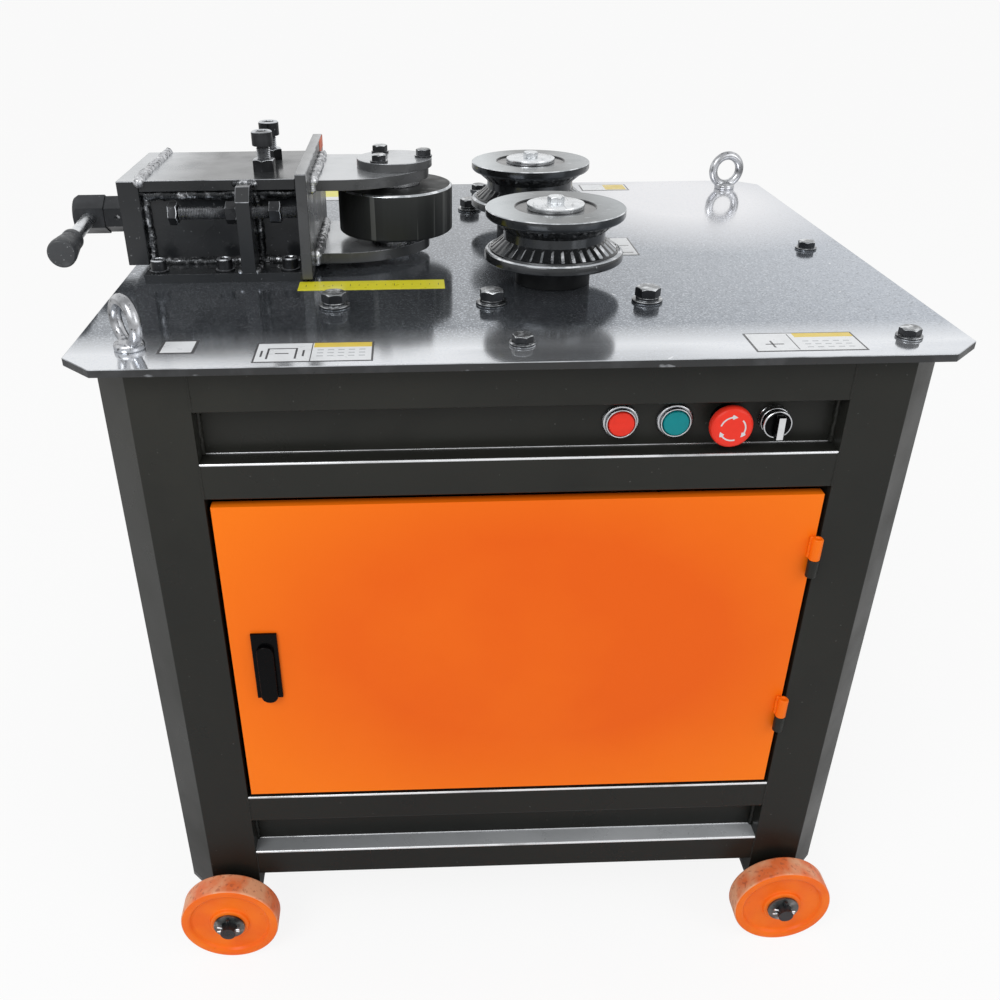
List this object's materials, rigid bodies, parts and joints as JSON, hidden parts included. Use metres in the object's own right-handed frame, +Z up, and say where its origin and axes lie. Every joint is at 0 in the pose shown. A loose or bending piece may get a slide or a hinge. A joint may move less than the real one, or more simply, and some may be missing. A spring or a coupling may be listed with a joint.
{
  "type": "rebar bending machine",
  "caption": "Wheeled steel cabinet with a thick table carrying two driven grooved rollers and a crank-screw press with a sliding fork roller, a hinged door and a switch panel.",
  "frame": {"origin": "on the floor, in the middle of the machine's greatest width and depth", "axes": "+Z up, +X from the crank towards the driven rollers, +Y to the back of the machine, the door and the switches face -Y"},
  "size_m": [0.9524, 0.8326, 0.97],
  "materials": {
    "table_paint": "speckled gloss hammer paint",
    "cabinet_paint": "satin paint",
    "press_paint": "semi-gloss paint over welds",
    "orange_paint": "satin paint",
    "orange_wheel": "satin paint, scuffed tread",
    "dark_steel": "oiled dark steel",
    "roller_steel": "blackened machined steel",
    "black_oxide": "black oxide",
    "bright_steel": "ground steel",
    "zinc_steel": "bright zinc plating",
    "chrome_steel": "plated, slightly worn",
    "gear_steel": "machined steel",
    "bronze": "machined bronze",
    "cast_housing": "painted casting",
    "box_grey": "powder coat",
    "bezel_metal": "satin",
    "black_plastic": "matt",
    "black_rubber": "matt rubber",
    "red_plastic": "gloss",
    "green_plastic": "gloss"
  },
  "bodies": {
    "frame": {"table_top": "table_paint", "corner_posts": "cabinet_paint", "frame_rails": "cabinet_paint", "button_panel": "cabinet_paint", "lower_panel": "cabinet_paint", "rear_panel": "cabinet_paint", "side_panels": "cabinet_paint", "floor_pan": "cabinet_paint", "wheel_axles": "dark_steel", "wheel_washers": "zinc_steel", "frame_hinge_knuckles": "cabinet_paint", "control_bezels": "bezel_metal", "switch_blocks": "black_plastic", "press_base_plate": "press_paint", "press_end_plate": "press_paint", "press_top_plate": "press_paint", "press_side_plates": "press_paint", "press_screws": "black_oxide", "stop_bolts": "black_oxide", "bearing_plate": "dark_steel", "bearing_housings": "dark_steel", "gearbox": "cast_housing", "drive_motor": "cast_housing", "control_box": "box_grey", "cable_gland": "black_plastic", "table_bolts": "black_oxide", "lifting_eyes": "chrome_steel"},
    "ram": {"ram_block": "press_paint", "screw_nut": "bronze", "flange_plate": "press_paint", "fork_plates": "press_paint", "roller_pin": "bright_steel", "keeper_plate": "dark_steel", "keeper_bolts": "black_oxide"},
    "screw": {"lead_screw": "bright_steel", "crank_hub": "dark_steel", "crank_rod": "zinc_steel", "crank_grip": "black_rubber"},
    "press_roller": {"press_roller": "roller_steel"},
    "front_roller": {"drive_roller_front": "roller_steel", "roller_shaft_front": "bright_steel", "drive_gear_front": "gear_steel"},
    "rear_roller": {"drive_roller_rear": "roller_steel", "roller_shaft_rear": "bright_steel", "drive_gear_rear": "gear_steel"},
    "pinion": {"drive_pinion": "gear_steel"},
    "door": {"door_panel": "orange_paint", "door_hinge_knuckles": "orange_paint", "latch_plate": "black_plastic"},
    "latch": {"latch_handle": "black_plastic"},
    "start_button": {"start_button": "green_plastic"},
    "stop_button": {"stop_button": "red_plastic"},
    "emergency_button": {"emergency_button": "red_plastic"},
    "selector": {"selector_knob": "black_plastic"},
    "wheel_front_left": {"wheel_front_left": "orange_wheel"},
    "wheel_front_right": {"wheel_front_right": "orange_wheel"},
    "wheel_rear_left": {"wheel_rear_left": "orange_wheel"},
    "wheel_rear_right": {"wheel_rear_right": "orange_wheel"}
  },
  "joints": [
    {"name": "screw_turn", "type": "hinge", "parent": "frame", "child": "screw", "pos_m": [-0.36385, 0, 0.871], "axis": [1, 0, 0], "range_deg": [0, 4800]},
    {"name": "ram_slide", "type": "slide", "parent": "frame", "child": "ram", "axis": [1, 0, 0], "range_m": [0, 0.08]},
    {"name": "press_roller_spin", "type": "hinge", "parent": "ram", "child": "press_roller", "pos_m": [-0.08785, 0, 0.875], "axis": [0, 0, 1], "continuous": true},
    {"name": "front_roller_spin", "type": "hinge", "parent": "frame", "child": "front_roller", "pos_m": [0.09115, -0.13, 0.82], "axis": [0, 0, 1], "continuous": true},
    {"name": "rear_roller_spin", "type": "hinge", "parent": "frame", "child": "rear_roller", "pos_m": [0.09115, 0.13, 0.82], "axis": [0, 0, 1], "continuous": true},
    {"name": "pinion_spin", "type": "hinge", "parent": "frame", "child": "pinion", "pos_m": [0.09115, 0, 0.68], "axis": [0, 0, 1], "continuous": true},
    {"name": "door_hinge", "type": "hinge", "parent": "frame", "child": "door", "pos_m": [0.35365, -0.3703, 0.46], "axis": [0, 0, 1], "range_deg": [0, 110]},
    {"name": "latch_turn", "type": "hinge", "parent": "door", "child": "latch", "pos_m": [-0.24285, -0.3673, 0.476], "axis": [0, -1, 0], "range_deg": [0, 90]},
    {"name": "start_button_press", "type": "slide", "parent": "frame", "child": "start_button", "axis": [0, 1, 0], "range_m": [0, 0.004], "stiffness_N_per_m": 400},
    {"name": "stop_button_press", "type": "slide", "parent": "frame", "child": "stop_button", "axis": [0, 1, 0], "range_m": [0, 0.004], "stiffness_N_per_m": 400},
    {"name": "emergency_button_press", "type": "slide", "parent": "frame", "child": "emergency_button", "axis": [0, 1, 0], "range_m": [0, 0.005]},
    {"name": "selector_turn", "type": "hinge", "parent": "frame", "child": "selector", "pos_m": [0.29365, -0.34, 0.7375], "axis": [0, 1, 0], "range_deg": [-45, 45]},
    {"name": "wheel_front_left_spin", "type": "hinge", "parent": "frame", "child": "wheel_front_left", "pos_m": [-0.32485, -0.387, 0.0625], "axis": [0, 1, 0], "continuous": true},
    {"name": "wheel_front_right_spin", "type": "hinge", "parent": "frame", "child": "wheel_front_right", "pos_m": [0.39715, -0.387, 0.0625], "axis": [0, 1, 0], "continuous": true},
    {"name": "wheel_rear_left_spin", "type": "hinge", "parent": "frame", "child": "wheel_rear_left", "pos_m": [-0.32485, 0.387, 0.0625], "axis": [0, 1, 0], "continuous": true},
    {"name": "wheel_rear_right_spin", "type": "hinge", "parent": "frame", "child": "wheel_rear_right", "pos_m": [0.39715, 0.387, 0.0625], "axis": [0, 1, 0], "continuous": true}
  ],
  "couplings": [
    {"joint": "ram_slide", "follows": "screw_turn", "m_per_rad": 0.00095492},
    {"joint": "rear_roller_spin", "follows": "front_roller_spin", "ratio": 1},
    {"joint": "pinion_spin", "follows": "front_roller_spin", "ratio": -1.6}
  ]
}
